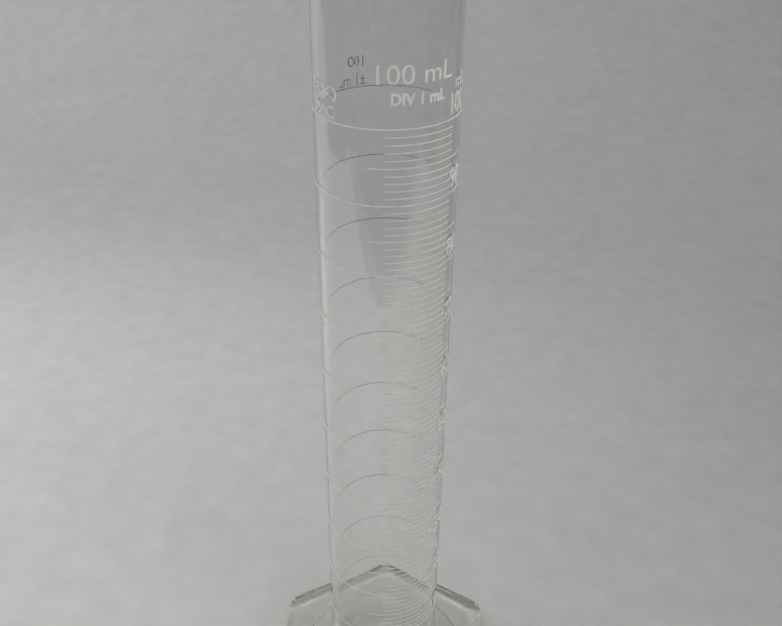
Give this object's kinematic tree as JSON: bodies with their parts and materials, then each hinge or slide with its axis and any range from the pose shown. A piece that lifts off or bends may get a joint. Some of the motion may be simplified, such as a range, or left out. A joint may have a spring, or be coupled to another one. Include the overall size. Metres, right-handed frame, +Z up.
{
  "type": "graduated cylinder",
  "caption": "Glass measuring cylinder on a fused hexagonal foot, with an enamel millilitre scale, a beaded rim and a pouring spout.",
  "frame": {"origin": "centre of the foot's resting face", "axes": "+Z up along the tube's axis; -Y is the front, where the short scale lines start; +X is to the right of the front"},
  "size_m": [0.061, 0.0692, 0.23],
  "materials": {
    "tube_glass": "clear fire-polished borosilicate glass",
    "foot_glass": "clear pressed borosilicate glass with soft mould marks",
    "enamel": "fired white ceramic enamel, satin"
  },
  "bodies": {
    "root": {"tube": "tube_glass", "foot": "foot_glass", "ring_10": "enamel", "ring_20": "enamel", "ring_30": "enamel", "ring_40": "enamel", "ring_50": "enamel", "ring_60": "enamel", "ring_70": "enamel", "ring_80": "enamel", "ring_90": "enamel", "ring_100": "enamel", "line_15": "enamel", "line_25": "enamel", "line_35": "enamel", "line_45": "enamel", "line_55": "enamel", "line_65": "enamel", "line_75": "enamel", "line_85": "enamel", "line_95": "enamel", "lines_11_19": "enamel", "lines_21_29": "enamel", "lines_31_39": "enamel", "lines_41_49": "enamel", "lines_51_59": "enamel", "lines_61_69": "enamel", "lines_71_79": "enamel", "lines_81_89": "enamel", "lines_91_99": "enamel", "numeral_10": "enamel", "numeral_20": "enamel", "numeral_30": "enamel", "numeral_40": "enamel", "numeral_50": "enamel", "numeral_60": "enamel", "numeral_70": "enamel", "numeral_80": "enamel", "numeral_90": "enamel", "numeral_100": "enamel", "unit_mark": "enamel", "capacity_mark": "enamel", "division_mark": "enamel", "delivery_mark": "enamel", "temperature_mark": "enamel", "tolerance_mark": "enamel"}
  },
  "joints": []
}
